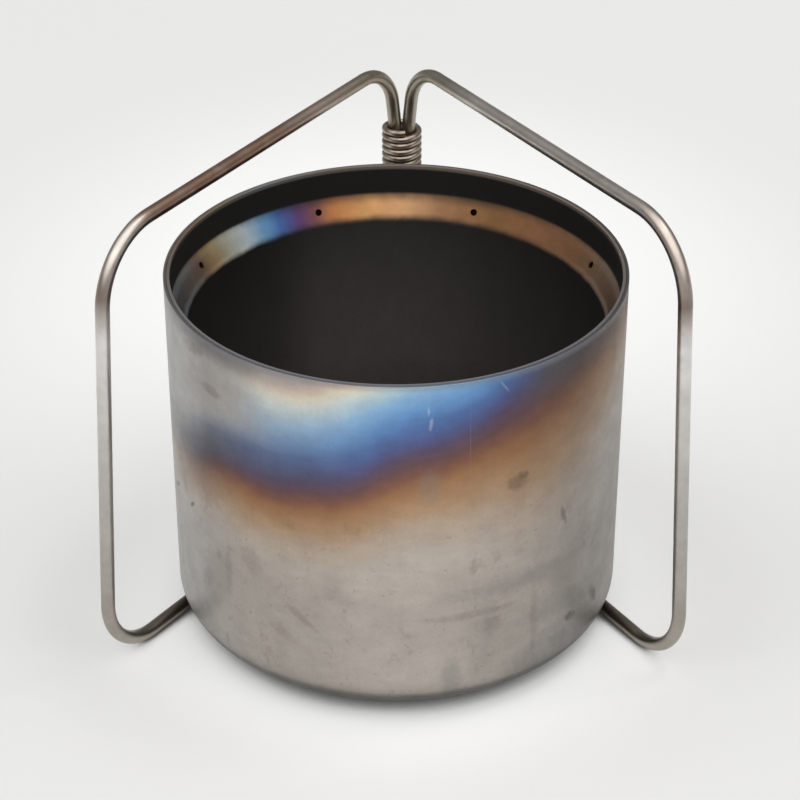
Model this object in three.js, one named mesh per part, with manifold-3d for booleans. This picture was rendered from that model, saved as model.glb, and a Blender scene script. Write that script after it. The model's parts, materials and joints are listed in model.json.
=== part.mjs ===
// A double-walled spirit burner standing in its folding two-wing wire pot stand.
// Millimetres, +Z up. The origin is on the ground, under the middle of the whole object.
// The burner's mouth is round and the stand's wings open towards -Y from a hinge at the back.

import * as THREE from 'three';
import { mergeVertices } from 'three/addons/utils/BufferGeometryUtils.js';
import Module from 'manifold-3d';

// ---- driving dimensions: burner ----
const SHEET = 0.4; // titanium sheet of both cups
const CUP_RADIUS = 31.5; // outside of the outer cup
const CUP_HEIGHT = 51.5; // rim to underside
const BASE_BEND = 3.8; // outside radius where wall turns into base
const NEST_GAP = 0.05; // play between the two nested sheets at the rim
const COLLAR_DEPTH = 4.3; // rim down to the top of the jet shoulder
const SHOULDER_DEPTH = 3.4; // height of the conical jet shoulder
const CHAMBER_RADIUS = 28.6; // inside of the burn chamber wall
const SHEET_BEND = 0.7; // inside radius of the bends above and below the shoulder
const LINER_LIFT = 0.3; // liner's lower edge above the cup's floor, where it sits on the bend
const JET_COUNT = 8;
const JET_DIAMETER = 1.0;
const FEED_COUNT = 8; // notches in the liner's lower edge that let fuel between the walls
const FEED_WIDTH = 5;
const FEED_HEIGHT = 1.6;

// ---- driving dimensions: pot stand ----
const ROD_RADIUS = 1.0; // 2 mm titanium rod
const ROD_SIDES = 16;
const HINGE_BEHIND = 37.8; // hinge line behind the burner's axis
const HINGE_ASIDE = 0.85; // hinge line to the right of the burner's axis
const ROD_SPREAD = 1.02; // half the distance between the two hinge rods
const RUN_RISE = 13.5; // upper run's centre above the burner's rim, at the hinge
const SHOULDER_REACH = 65.0; // hinge rod to the upper outer corner
const FOOT_REACH = 69.6; // hinge rod to the foot corner
const NECK_LEAN = 1.6; // outward lean of the rod between coil and upper bend
const LEFT_WING = { open: 35.2, droop: 1.8 }; // degrees out from straight ahead, degrees below level
const RIGHT_WING = { open: 32.5, droop: 0 };
const NECK_BEND = 8.0; // centre-line bend radii
const UPPER_BEND = 7.2;
const OUTER_BEND = 10.4;
const FOOT_BEND = 8.8;
const LOWER_BEND = 6.3;
const UNDER_CUP_GAP = 0.07; // play between the lower runs and the burner's base

// ---- driving dimensions: hinge coil ----
const WIRE_RADIUS = 0.47;
const COIL_RADIUS = 2.54; // centre line of the coiled wire
const COIL_PITCH = 1.03;
const COIL_TURNS = 16;
const COIL_ABOVE_RIM = 3.5; // top of the coil above the burner's rim
const COIL_START = -80; // degrees round from +X where the wire's upper end is
const ROD_END_GAP = 0.6; // between a wing's two ends inside the coil

// ---- worked-out heights, from the ground up ----
const ROD_FLAT = ROD_RADIUS * Math.cos(Math.PI / ROD_SIDES); // rod centre to its flat top or bottom
const CUP_BASE_Z = 2 * ROD_FLAT + UNDER_CUP_GAP;
const RIM_Z = CUP_BASE_Z + CUP_HEIGHT;
const RUN_Z = RIM_Z + RUN_RISE;
const COIL_TOP_Z = RIM_Z + COIL_ABOVE_RIM;
const COIL_MIDDLE_Z = COIL_TOP_Z - COIL_PITCH * COIL_TURNS / 2;

const LATHE_STEPS = 80;
const BEND_STEP = 15; // degrees turned per step of a bend
const COIL_STEPS_PER_TURN = 20;
const WIRE_SIDES = 6;
const ROUND_HOLE_SIDES = 16;

const titanium = (color, roughness) => new THREE.MeshStandardMaterial({ color, roughness, metalness: 1 });

const wasm = await Module();
wasm.setup();

// ---- general helpers ----

// The stations of an arc: where each one is, and the direction the arc runs there.
function arc(centre, radius, fromDegrees, toDegrees) {
  const steps = Math.max(1, Math.ceil(Math.abs(toDegrees - fromDegrees) / BEND_STEP));
  const sense = Math.sign(toDegrees - fromDegrees);
  const stations = [];
  for (let i = 0; i <= steps; i++) {
    const angle = THREE.MathUtils.degToRad(fromDegrees + (toDegrees - fromDegrees) * i / steps);
    const outward = new THREE.Vector2(Math.cos(angle), Math.sin(angle));
    stations.push({
      at: centre.clone().addScaledVector(outward, radius),
      along: new THREE.Vector2(-outward.y, outward.x).multiplyScalar(sense),
    });
  }
  return stations;
}

// The arc that rounds one corner of a flat line and touches both of its sides.
function cornerArc(before, corner, after, radius) {
  const toBefore = before.clone().sub(corner).normalize();
  const toAfter = after.clone().sub(corner).normalize();
  const half = Math.acos(THREE.MathUtils.clamp(toBefore.dot(toAfter), -1, 1)) / 2;
  const bisector = toBefore.clone().add(toAfter).normalize();
  const centre = corner.clone().addScaledVector(bisector, radius / Math.sin(half));
  const start = corner.clone().addScaledVector(toBefore, radius / Math.tan(half)).sub(centre);
  const end = corner.clone().addScaledVector(toAfter, radius / Math.tan(half)).sub(centre);
  const from = THREE.MathUtils.radToDeg(start.angle());
  const turn = THREE.MathUtils.euclideanModulo(THREE.MathUtils.radToDeg(end.angle()) - from + 180, 360) - 180;
  return arc(centre, radius, from, from + turn);
}

// A line through corners, each inner corner rounded to its own bend radius.
function filletedLine(corners) {
  const places = corners.map((corner) => corner.at);
  const last = places.length - 1;
  const stations = [{ at: places[0], along: places[1].clone().sub(places[0]).normalize() }];
  for (let i = 1; i < last; i++) {
    stations.push(...cornerArc(places[i - 1], places[i], places[i + 1], corners[i].bend));
  }
  stations.push({ at: places[last], along: places[last].clone().sub(places[last - 1]).normalize() });
  return stations;
}

const placesOf = (stations) => stations.map((station) => station.at);

function regularPolygon(radius, sides) {
  const points = [];
  for (let i = 0; i < sides; i++) {
    const angle = 2 * Math.PI * (i + 0.5) / sides;
    points.push(new THREE.Vector2(radius * Math.cos(angle), radius * Math.sin(angle)));
  }
  return new THREE.Shape(points);
}

// A curve through given stations: one step of a sweep from each station to the next.
class StationCurve extends THREE.Curve {
  constructor(stations, tangents) {
    super();
    this.stations = stations;
    this.tangents = tangents;
  }
  getUtoTmapping(u) {
    return u;
  }
  getPoint(t) {
    return this.stations[Math.round(t * (this.stations.length - 1))].clone();
  }
  getTangent(t) {
    return this.tangents[Math.round(t * (this.stations.length - 1))].clone();
  }
}

function sweep(section, curve) {
  const steps = curve.stations.length - 1;
  return new THREE.ExtrudeGeometry(section, { steps, extrudePath: curve });
}

function toManifold(geometry) {
  const bare = geometry.clone();
  bare.deleteAttribute('normal');
  bare.deleteAttribute('uv');
  const merged = mergeVertices(bare, 1e-4);
  return new wasm.Manifold(new wasm.Mesh({
    numProp: 3,
    vertProperties: Float32Array.from(merged.attributes.position.array),
    triVerts: Uint32Array.from(merged.index.array),
  }));
}

function fromManifold(solid) {
  const mesh = solid.getMesh();
  const geometry = new THREE.BufferGeometry();
  geometry.setAttribute('position', new THREE.BufferAttribute(mesh.vertProperties, 3));
  geometry.setIndex(new THREE.BufferAttribute(mesh.triVerts, 1));
  geometry.computeVertexNormals();
  return geometry;
}

// ---- burner ----

// Turns an outline of (radius, height) points about the vertical axis.
function turned(outline) {
  return new THREE.LatheGeometry(outline, LATHE_STEPS).rotateX(Math.PI / 2);
}

function outerCup() {
  const bendCentre = new THREE.Vector2(CUP_RADIUS - BASE_BEND, BASE_BEND);
  const inside = CUP_RADIUS - SHEET;
  return turned([
    new THREE.Vector2(0, 0),
    ...placesOf(arc(bendCentre, BASE_BEND, -90, 0)),
    new THREE.Vector2(CUP_RADIUS, CUP_HEIGHT),
    new THREE.Vector2(inside, CUP_HEIGHT),
    ...placesOf(arc(bendCentre, BASE_BEND - SHEET, 0, -90)),
    new THREE.Vector2(0, SHEET),
  ]);
}

// The liner's inner face from rim to lower edge; outset moves it outwards to give the outer face.
function linerFace(outset) {
  const collar = CUP_RADIUS - 2 * SHEET - NEST_GAP + outset;
  const chamber = CHAMBER_RADIUS + outset;
  const slant = Math.atan2(collar - chamber, SHOULDER_DEPTH);
  const shift = outset * Math.tan(slant / 2); // keeps the sheet equally thick round both bends
  const collarEnd = CUP_HEIGHT - COLLAR_DEPTH - shift;
  return filletedLine([
    { at: new THREE.Vector2(collar, CUP_HEIGHT) },
    { at: new THREE.Vector2(collar, collarEnd), bend: SHEET_BEND + outset },
    { at: new THREE.Vector2(chamber, collarEnd - SHOULDER_DEPTH), bend: SHEET_BEND + SHEET - outset },
    { at: new THREE.Vector2(chamber, SHEET + LINER_LIFT) },
  ]);
}

function jetCutters() {
  const collar = CUP_RADIUS - 2 * SHEET - NEST_GAP;
  const radius = (collar + CHAMBER_RADIUS) / 2;
  const height = CUP_HEIGHT - COLLAR_DEPTH - SHOULDER_DEPTH / 2;
  const rise = Math.atan2(collar - CHAMBER_RADIUS, SHOULDER_DEPTH);
  const length = 6 * SHEET;
  const cutters = [];
  for (let i = 0; i < JET_COUNT; i++) {
    const around = 2 * Math.PI * (i + 0.5) / JET_COUNT;
    const cutter = new THREE.CylinderGeometry(JET_DIAMETER / 2, JET_DIAMETER / 2, length, ROUND_HOLE_SIDES);
    cutter.rotateZ(Math.PI / 2 - rise); // a jet stands square on the shoulder, aimed inwards and up
    cutter.translate(radius, 0, 0);
    cutter.rotateX(Math.PI / 2);
    cutter.translate(0, 0, height);
    cutter.rotateZ(around);
    cutters.push(cutter);
  }
  return cutters;
}

function feedCutters() {
  const cutters = [];
  for (let i = 0; i < FEED_COUNT; i++) {
    const cutter = new THREE.BoxGeometry(6 * SHEET, FEED_WIDTH, 2 * FEED_HEIGHT);
    cutter.translate(CHAMBER_RADIUS + SHEET / 2, 0, SHEET + LINER_LIFT);
    cutter.rotateZ(2 * Math.PI * i / FEED_COUNT);
    cutters.push(cutter);
  }
  return cutters;
}

function jetLiner() {
  const inner = placesOf(linerFace(0));
  const outer = placesOf(linerFace(SHEET));
  const outline = [...inner.reverse(), ...outer];
  outline.push(outline[0].clone());
  let solid = toManifold(turned(outline.reverse()));
  for (const cutter of [...jetCutters(), ...feedCutters()]) {
    solid = solid.subtract(toManifold(cutter));
  }
  return fromManifold(solid);
}

// ---- pot stand ----

// One wing is one rod: up out of the coil, along the pot run, down the leg, back along the ground
// and up into the coil again, where its two ends nearly meet. It lies in its own upright plane,
// drawn as (reach from the hinge rod, height).
function wingCurve(droopDegrees) {
  const point = (reach, height) => new THREE.Vector2(reach, height);
  const drop = (SHOULDER_REACH - NECK_LEAN) * Math.tan(THREE.MathUtils.degToRad(droopDegrees));
  const line = filletedLine([
    { at: point(0, COIL_MIDDLE_Z + ROD_END_GAP / 2) },
    { at: point(0, COIL_TOP_Z), bend: NECK_BEND },
    { at: point(NECK_LEAN, RUN_Z), bend: UPPER_BEND },
    { at: point(SHOULDER_REACH, RUN_Z - drop), bend: OUTER_BEND },
    { at: point(FOOT_REACH, ROD_FLAT), bend: FOOT_BEND },
    { at: point(0, ROD_FLAT), bend: LOWER_BEND },
    { at: point(0, COIL_MIDDLE_Z - ROD_END_GAP / 2) },
  ]);
  return new StationCurve(
    line.map(({ at }) => new THREE.Vector3(0, -at.x, at.y)),
    line.map(({ along }) => new THREE.Vector3(0, -along.x, along.y)),
  );
}

function wing(name, side, { open, droop }) {
  const section = regularPolygon(ROD_RADIUS, ROD_SIDES);
  const mesh = new THREE.Mesh(sweep(section, wingCurve(droop)), titanium(0x9a948d, 0.32));
  mesh.name = name;
  mesh.position.x = side * ROD_SPREAD;
  mesh.rotation.z = side * THREE.MathUtils.degToRad(open);
  return mesh;
}

function hingeCoil() {
  const steps = COIL_TURNS * COIL_STEPS_PER_TURN;
  const stations = [];
  const tangents = [];
  for (let i = 0; i <= steps; i++) {
    const turns = i / COIL_STEPS_PER_TURN;
    const angle = THREE.MathUtils.degToRad(COIL_START) - 2 * Math.PI * turns;
    const height = COIL_TOP_Z - WIRE_RADIUS - COIL_PITCH * turns;
    stations.push(new THREE.Vector3(COIL_RADIUS * Math.cos(angle), COIL_RADIUS * Math.sin(angle), height));
    const climb = -COIL_PITCH / (2 * Math.PI * COIL_RADIUS);
    tangents.push(new THREE.Vector3(Math.sin(angle), -Math.cos(angle), climb).normalize());
  }
  const curve = new StationCurve(stations, tangents);
  const mesh = new THREE.Mesh(sweep(regularPolygon(WIRE_RADIUS, WIRE_SIDES), curve), titanium(0xa39b92, 0.3));
  mesh.name = 'hinge_coil';
  return mesh;
}

// ---- assembly ----

function burner() {
  const cup = new THREE.Mesh(outerCup(), titanium(0x8f8a85, 0.45));
  cup.name = 'outer_cup';
  const liner = new THREE.Mesh(jetLiner(), titanium(0x4a443d, 0.5));
  liner.name = 'jet_liner';
  const group = new THREE.Group();
  group.add(cup, liner);
  group.position.z = CUP_BASE_Z;
  return group;
}

function potStand() {
  const group = new THREE.Group();
  group.add(wing('left_wing', -1, LEFT_WING), wing('right_wing', 1, RIGHT_WING), hingeCoil());
  group.position.set(HINGE_ASIDE, HINGE_BEHIND, 0);
  return group;
}

const model = new THREE.Group();
model.add(burner(), potStand());
model.updateMatrixWorld(true);
const middle = new THREE.Box3().setFromObject(model, true).getCenter(new THREE.Vector3());
model.position.set(-middle.x, -middle.y, 0);

export default model;
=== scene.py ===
"""Looks of a double-walled titanium spirit burner standing in its folding wire pot stand.

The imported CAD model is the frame. Every piece made here stands for one CAD node and rides on its body.
Lengths are written in millimetres and turned into metres where a mesh, a light or the camera is made.
"""

import json
import math

import bpy
from mathutils import Euler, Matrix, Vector


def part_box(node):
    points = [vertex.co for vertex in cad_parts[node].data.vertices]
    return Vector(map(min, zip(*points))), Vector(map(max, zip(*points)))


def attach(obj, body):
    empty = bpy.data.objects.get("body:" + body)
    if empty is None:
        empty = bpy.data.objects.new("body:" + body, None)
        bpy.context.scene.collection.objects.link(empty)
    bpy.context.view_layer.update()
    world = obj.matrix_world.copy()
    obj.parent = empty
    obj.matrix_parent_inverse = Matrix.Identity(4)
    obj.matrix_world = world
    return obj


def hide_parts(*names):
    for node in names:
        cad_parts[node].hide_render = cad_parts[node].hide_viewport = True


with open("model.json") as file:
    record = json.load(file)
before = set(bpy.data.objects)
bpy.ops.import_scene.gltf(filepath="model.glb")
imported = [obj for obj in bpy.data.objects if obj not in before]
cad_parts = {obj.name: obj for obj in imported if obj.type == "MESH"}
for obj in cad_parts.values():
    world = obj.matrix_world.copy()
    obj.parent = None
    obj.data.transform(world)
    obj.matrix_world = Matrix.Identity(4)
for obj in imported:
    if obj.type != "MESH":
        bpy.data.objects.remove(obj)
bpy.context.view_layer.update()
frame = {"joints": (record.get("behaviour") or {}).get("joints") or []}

MM = 0.001
FULL_TURN = 2 * math.pi

# ---- burner, in millimetres ----
SHEET = 0.4
BASE_BEND = 3.8
NEST_GAP = 0.05  # between the cup's wall and the liner's collar
COLLAR_DEPTH = 4.3
SHOULDER_DEPTH = 3.4
CHAMBER_RADIUS = 28.6
SHEET_BEND = 0.7
LINER_LIFT = 0.3  # the liner's lower edge above the cup's floor
LIP_ROUND = 0.06  # broken edges of the sheet at the rim
JET_COUNT = 8
JET_DIAMETER = 1.0
FEED_COUNT = 8
FEED_WIDTH = 5.0
FEED_HEIGHT = 1.6

# ---- pot stand, in millimetres and degrees ----
ROD_RADIUS = 0.976  # a hair inside the CAD rod's flat sides
RUN_RISE = 13.5  # the pot run's centre line above the rim
SHOULDER_REACH = 65.0  # from the hinge rod out to the corner above the leg
FOOT_REACH = 69.57  # from the hinge rod out to the corner below the leg
NECK_LEAN = 1.6  # how far the rod leans out between the coil and the pot run
LEFT_WING = {"side": -1, "spread": 35.2, "droop": 1.8}
RIGHT_WING = {"side": 1, "spread": 32.5, "droop": 0.0}
NECK_BEND = 8.0
UPPER_BEND = 7.2
OUTER_BEND = 10.4
FOOT_BEND = 8.8
LOWER_BEND = 6.3
ROD_END_GAP = 0.6  # between the rod's two ends, inside the coil
ROD_END_BREAK = 0.25

# ---- hinge coil, in millimetres and degrees ----
WIRE_RADIUS = 0.455
COIL_RADIUS = 2.52
COIL_PITCH = 1.03
COIL_TURNS = 16
COIL_ABOVE_RIM = 3.5
COIL_START = -80.0

# ---- how finely the surfaces are made ----
AROUND = 480  # steps round the burner
BEND_STEP = 3.0  # degrees of a bend per step
SHARP_EDGE = 35.0  # degrees between two faces from which their edge is sharp
ROD_SIDES = 40
ROD_STEP = 4.0  # longest step along a rod's straights, in millimetres
WALL_STEP = 6.0  # longest step down the chamber wall, in millimetres
WIRE_SIDES = 24
COIL_STEPS_PER_TURN = 72
LIP_STEPS = 5
JET_BLOCK = 6  # grid cells along each side of the square that holds a jet
JET_RINGS = 3  # rings of faces between that square and the jet

# ---- places worked out from the frame, in millimetres ----


def node_box(node):
    low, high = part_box(node)
    return low / MM, high / MM


cup_low, cup_high = node_box("outer_cup")
CUP_RADIUS = (cup_high.x - cup_low.x) / 2
CUP_HEIGHT = cup_high.z - cup_low.z
WALL_PER_DEGREE = math.radians(CUP_RADIUS)  # distance round the wall
CUP_AXIS = Vector(((cup_low.x + cup_high.x) / 2, (cup_low.y + cup_high.y) / 2, 0))
RIM_Z = cup_high.z
RUN_Z = RIM_Z + RUN_RISE
COIL_TOP_Z = RIM_Z + COIL_ABOVE_RIM
COIL_MIDDLE_Z = COIL_TOP_Z - COIL_PITCH * COIL_TURNS / 2
COLLAR_RADIUS = CUP_RADIUS - 2 * SHEET - NEST_GAP

hinge_places = {joint["name"]: Vector(joint["pos_m"]) / MM for joint in frame["joints"] if "pos_m" in joint}
LEFT_HINGE = hinge_places["left_wing_swing"]
RIGHT_HINGE = hinge_places["right_wing_swing"]
COIL_AXIS = (LEFT_HINGE + RIGHT_HINGE) / 2
ROD_CENTRE_Z = ROD_RADIUS

# ---- flat lines with rounded corners ----


def arc_points(centre, radius, start, end, step=BEND_STEP):
    """Points of an arc from one angle to another, in degrees."""
    count = max(1, math.ceil(abs(end - start) / step))
    angles = [math.radians(start + (end - start) * i / count) for i in range(count + 1)]
    return [Vector((centre.x + radius * math.cos(a), centre.y + radius * math.sin(a))) for a in angles]


def corner_arc(before, corner, after, radius):
    """The arc that rounds one corner and touches both of its sides."""
    to_before = (before - corner).normalized()
    to_after = (after - corner).normalized()
    half = to_before.angle(to_after) / 2
    centre = corner + (to_before + to_after).normalized() * radius / math.sin(half)
    start = corner + to_before * radius / math.tan(half) - centre
    end = corner + to_after * radius / math.tan(half) - centre
    first = math.degrees(math.atan2(start.y, start.x))
    turn = (math.degrees(math.atan2(end.y, end.x)) - first + 180) % 360 - 180
    return arc_points(centre, radius, first, first + turn)


def filleted_line(corners):
    """A line through (place, bend radius) corners, with each inner corner rounded."""
    places = [Vector(place) for place, _ in corners]
    line = [places[0]]
    for i in range(1, len(corners) - 1):
        line += corner_arc(places[i - 1], places[i], places[i + 1], corners[i][1])
    return line + [places[-1]]


def split_straights(line, longest):
    """Adds points so that no step of the line is longer than that."""
    out = [line[0]]
    for a, b in zip(line, line[1:]):
        count = max(1, math.ceil((b - a).length / longest))
        out += [a.lerp(b, i / count) for i in range(1, count + 1)]
    return out


# ---- meshes ----


def add_piece(name, vertices, faces, material, place=(0, 0, 0)):
    """A mesh object from vertices in millimetres, smooth but for its sharp edges."""
    mesh = bpy.data.meshes.new(name)
    mesh.from_pydata([Vector(v) * MM for v in vertices], [], faces)
    mesh.validate()
    mesh.shade_smooth()
    mesh.set_sharp_from_angle(angle=math.radians(SHARP_EDGE))
    mesh.materials.append(material)
    piece = bpy.data.objects.new(name, mesh)
    piece.location = Vector(place) * MM
    bpy.context.scene.collection.objects.link(piece)
    return piece


def polar(radius, angle, height):
    return Vector((radius * math.cos(angle), radius * math.sin(angle), height))


def lathe(profile):
    """Turns (radius, height) points about the Z axis. Both ends of the profile lie on the axis."""
    vertices = [polar(0, 0, profile[0].y)]
    for point in profile[1:-1]:
        vertices += [polar(point.x, FULL_TURN * i / AROUND, point.y) for i in range(AROUND)]
    vertices.append(polar(0, 0, profile[-1].y))
    last = len(vertices) - 1
    faces = []
    for i in range(AROUND):
        j = (i + 1) % AROUND
        faces.append((0, 1 + j, 1 + i))
        for k in range(len(profile) - 3):
            low, high = 1 + k * AROUND, 1 + (k + 1) * AROUND
            faces.append((low + i, low + j, high + j, high + i))
        top = 1 + (len(profile) - 3) * AROUND
        faces.append((top + i, top + j, last))
    return vertices, faces


def tube(stations, sides):
    """A closed tube through (centre, across, up, radius) stations; across and up span each section."""
    vertices = []
    for centre, across, up, radius in stations:
        for i in range(sides):
            a = FULL_TURN * i / sides
            vertices.append(centre + (across * math.cos(a) + up * math.sin(a)) * radius)
    faces = []
    for k in range(len(stations) - 1):
        for i in range(sides):
            j = (i + 1) % sides
            low, high = k * sides, (k + 1) * sides
            faces.append((low + i, low + j, high + j, high + i))
    faces.append(tuple(reversed(range(sides))))
    end = (len(stations) - 1) * sides
    faces.append(tuple(end + i for i in range(sides)))
    return vertices, faces


def cup_profile():
    """The outer cup's section, from the middle of its underside round the rim to the middle of its floor."""
    bend = Vector((CUP_RADIUS - BASE_BEND, BASE_BEND))
    top = CUP_HEIGHT - LIP_ROUND
    outer_lip = Vector((CUP_RADIUS - LIP_ROUND, top))
    inner_lip = Vector((CUP_RADIUS - SHEET + LIP_ROUND, top))
    lip_step = 90 / LIP_STEPS
    outside = [Vector((0, 0)), Vector((bend.x * 0.5, 0))] + arc_points(bend, BASE_BEND, -90, 0)
    outer_round = arc_points(outer_lip, LIP_ROUND, 0, 90, lip_step)
    inner_round = arc_points(inner_lip, LIP_ROUND, 90, 180, lip_step)
    inside = arc_points(bend, BASE_BEND - SHEET, 0, -90) + [Vector((0, SHEET))]
    return outside + outer_round + inner_round + inside


def liner_face(outset):
    """The liner's chamber face from rim to lower edge, as (radius, height), moved outwards by outset."""
    collar = COLLAR_RADIUS + outset
    chamber = CHAMBER_RADIUS + outset
    slant = math.atan2(collar - chamber, SHOULDER_DEPTH)
    collar_end = CUP_HEIGHT - COLLAR_DEPTH - outset * math.tan(slant / 2)
    upper = (collar, collar_end)
    lower = (chamber, collar_end - SHOULDER_DEPTH)
    return filleted_line([
        ((collar, CUP_HEIGHT), 0),
        (upper, SHEET_BEND + outset),
        (lower, SHEET_BEND + SHEET - outset),
        ((chamber, SHEET + LINER_LIFT), 0),
    ])


def shoulder_step(line):
    """Which step of the liner's section is the straight, slanting shoulder."""
    steps = [(abs(b.x - a.x), k) for k, (a, b) in enumerate(zip(line, line[1:]))]
    return max(steps)[1]


def liner_section(outset):
    """The liner's section with its shoulder and wall cut into steps, and where the shoulder starts."""
    line = liner_face(outset)
    k = shoulder_step(line)
    slant = [line[k].lerp(line[k + 1], i / JET_BLOCK) for i in range(JET_BLOCK + 1)]
    feed_top = Vector((line[-1].x, line[-1].y + FEED_HEIGHT))
    wall = split_straights([line[-2], feed_top], WALL_STEP)[1:]
    return line[:k] + slant + line[k + 2:-1] + wall + [line[-1]], k


def square_loop(i0, k0, size):
    """The grid corners round a square block, in order."""
    loop = [(i0 + n, k0) for n in range(size)]
    loop += [(i0 + size, k0 + n) for n in range(size)]
    loop += [(i0 + size - n, k0 + size) for n in range(size)]
    return loop + [(i0, k0 + size - n) for n in range(size)]


class Sheet:
    """A turned sheet of two faces on one grid, with square blocks left out for jets and cells for notches."""

    def __init__(self, inner, outer):
        self.inner = inner
        self.outer = outer
        self.rows = len(inner)
        self.vertices = []
        for line in (inner, outer):
            for i in range(AROUND):
                angle = FULL_TURN * i / AROUND
                self.vertices += [polar(p.x, angle, p.y) for p in line]
        self.side = AROUND * self.rows
        self.missing = set()
        self.faces = []

    def corner(self, i, k, face):
        return face * self.side + (i % AROUND) * self.rows + k

    def place(self, i, k, face):
        """A point between grid lines on the straight stretch that holds it."""
        line = (self.inner, self.outer)[face]
        low = min(int(k), self.rows - 2)
        point = line[low].lerp(line[low + 1], k - low)
        return polar(point.x, FULL_TURN * i / AROUND, point.y)

    def leave_out(self, i0, i1, k0, k1):
        self.missing |= {(i % AROUND, k) for i in range(i0, i1) for k in range(k0, k1)}

    def add_cells(self):
        """The cells of both faces, but for those left out."""
        cells = [(i, k) for i in range(AROUND) for k in range(self.rows - 1) if (i, k) not in self.missing]
        for i, k in cells:
            quad = [(i, k), (i + 1, k), (i + 1, k + 1), (i, k + 1)]
            self.faces.append([self.corner(a, b, 0) for a, b in quad])
            self.faces.append([self.corner(a, b, 1) for a, b in reversed(quad)])

    def add_wall(self, a, b):
        """Edge wall between two neighbouring grid corners, the sheet's material on the left going a to b."""
        self.faces.append([self.corner(*b, 0), self.corner(*a, 0), self.corner(*a, 1), self.corner(*b, 1)])

    def add_lower_edge(self, notches):
        """Walls along the lower edge, up and over each notch; notches are (first, last) grid columns."""
        bottom = self.rows - 1
        top = bottom - 1
        for i in range(AROUND):
            notch = any(first <= i < last for first, last in notches)
            row = top if notch else bottom
            self.add_wall((i + 1, row), (i, row))
        for first, last in notches:
            self.add_wall((first, top), (first, bottom))
            self.add_wall((last, bottom), (last, top))

    def add_top_edge(self):
        for i in range(AROUND):
            self.add_wall((i, 0), (i + 1, 0))

    def add_jet(self, i0, k0, size, radius):
        """Fills a left-out square block round a round hole through both faces."""
        middle_i, middle_k = i0 + size / 2, k0 + size / 2
        loop = square_loop(i0, k0, size)
        middle = self.place(middle_i, middle_k, 0)
        cell_i = (self.place(middle_i + 1, middle_k, 0) - middle).length
        cell_k = (self.place(middle_i, middle_k + 1, 0) - middle).length
        rings = []
        for face in (0, 1):
            grown = [[self.corner(i, k, face) for i, k in loop]]
            for ring in range(1, JET_RINGS + 1):
                part = ring / JET_RINGS
                row = []
                for n, (i, k) in enumerate(loop):
                    turn = math.atan2(k - middle_k, i - middle_i)
                    hole_i = middle_i + radius * math.cos(turn) / cell_i
                    hole_k = middle_k + radius * math.sin(turn) / cell_k
                    row.append(len(self.vertices))
                    self.vertices.append(self.place(i + (hole_i - i) * part, k + (hole_k - k) * part, face))
                grown.append(row)
            rings.append(grown)
        count = len(loop)
        for face, grown in enumerate(rings):
            for outer_ring, inner_ring in zip(grown, grown[1:]):
                for n in range(count):
                    m = (n + 1) % count
                    quad = [outer_ring[n], outer_ring[m], inner_ring[m], inner_ring[n]]
                    self.faces.append(quad if face == 0 else quad[::-1])
        hole = [grown[-1] for grown in rings]
        for n in range(count):
            m = (n + 1) % count
            self.faces.append([hole[0][n], hole[0][m], hole[1][m], hole[1][n]])


def liner_sheet():
    """The liner: collar, slanting shoulder with its jets, chamber wall, and notches in its lower edge."""
    inner, k0 = liner_section(0)
    outer, _ = liner_section(SHEET)
    sheet = Sheet(inner, outer)
    spacing = AROUND // JET_COUNT
    jets = [spacing // 2 + n * spacing - JET_BLOCK // 2 for n in range(JET_COUNT)]
    for i0 in jets:
        sheet.leave_out(i0, i0 + JET_BLOCK, k0, k0 + JET_BLOCK)
    half_notch = round(FEED_WIDTH / 2 / (FULL_TURN * CHAMBER_RADIUS / AROUND))
    notches = []
    for n in range(FEED_COUNT):
        middle = (n * AROUND // FEED_COUNT) or AROUND
        sheet.leave_out(middle - half_notch, middle + half_notch, sheet.rows - 2, sheet.rows - 1)
        notches.append((middle - half_notch, middle + half_notch))
    sheet.add_cells()
    for i0 in jets:
        sheet.add_jet(i0, k0, JET_BLOCK, JET_DIAMETER / 2)
    past_the_start = [(first - AROUND, last - AROUND) for first, last in notches if last > AROUND]
    sheet.add_lower_edge(notches + past_the_start)
    sheet.add_top_edge()
    return sheet.vertices, sheet.faces


def wing_line(droop):
    """Centre line of one wing's rod in its own upright plane, as (reach from the hinge rod, height)."""
    drop = (SHOULDER_REACH - NECK_LEAN) * math.tan(math.radians(droop))
    return filleted_line([
        ((0, COIL_MIDDLE_Z + ROD_END_GAP / 2), 0),
        ((0, COIL_TOP_Z), NECK_BEND),
        ((NECK_LEAN, RUN_Z), UPPER_BEND),
        ((SHOULDER_REACH, RUN_Z - drop), OUTER_BEND),
        ((FOOT_REACH, ROD_CENTRE_Z), FOOT_BEND),
        ((0, ROD_CENTRE_Z), LOWER_BEND),
        ((0, COIL_MIDDLE_Z - ROD_END_GAP / 2), 0),
    ])


def wing_rod(side, spread, droop):
    """One wing: a round rod along its line, turned out from straight ahead, with both end edges broken."""
    line = split_straights(wing_line(droop), ROD_STEP)
    turn = math.radians(side * spread)
    outward = Vector((math.sin(turn), -math.cos(turn), 0))
    across = Vector((math.cos(turn), math.sin(turn), 0))
    upright = Vector((0, 0, 1))
    stations = []
    for k, point in enumerate(line):
        ahead = line[min(k + 1, len(line) - 1)] - line[max(k - 1, 0)]
        along = (outward * ahead.x + upright * ahead.y).normalized()
        up = along.cross(across)
        centre = outward * point.x + upright * point.y
        stations.append([centre, across, up, ROD_RADIUS, along])
    first, last = stations[0], stations[-1]
    start = [first[0], first[1], first[2], ROD_RADIUS - ROD_END_BREAK]
    first[0] = first[0] + first[4] * ROD_END_BREAK
    end = [last[0], last[1], last[2], ROD_RADIUS - ROD_END_BREAK]
    last[0] = last[0] - last[4] * ROD_END_BREAK
    return tube([start] + [s[:4] for s in stations] + [end], ROD_SIDES)


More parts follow.
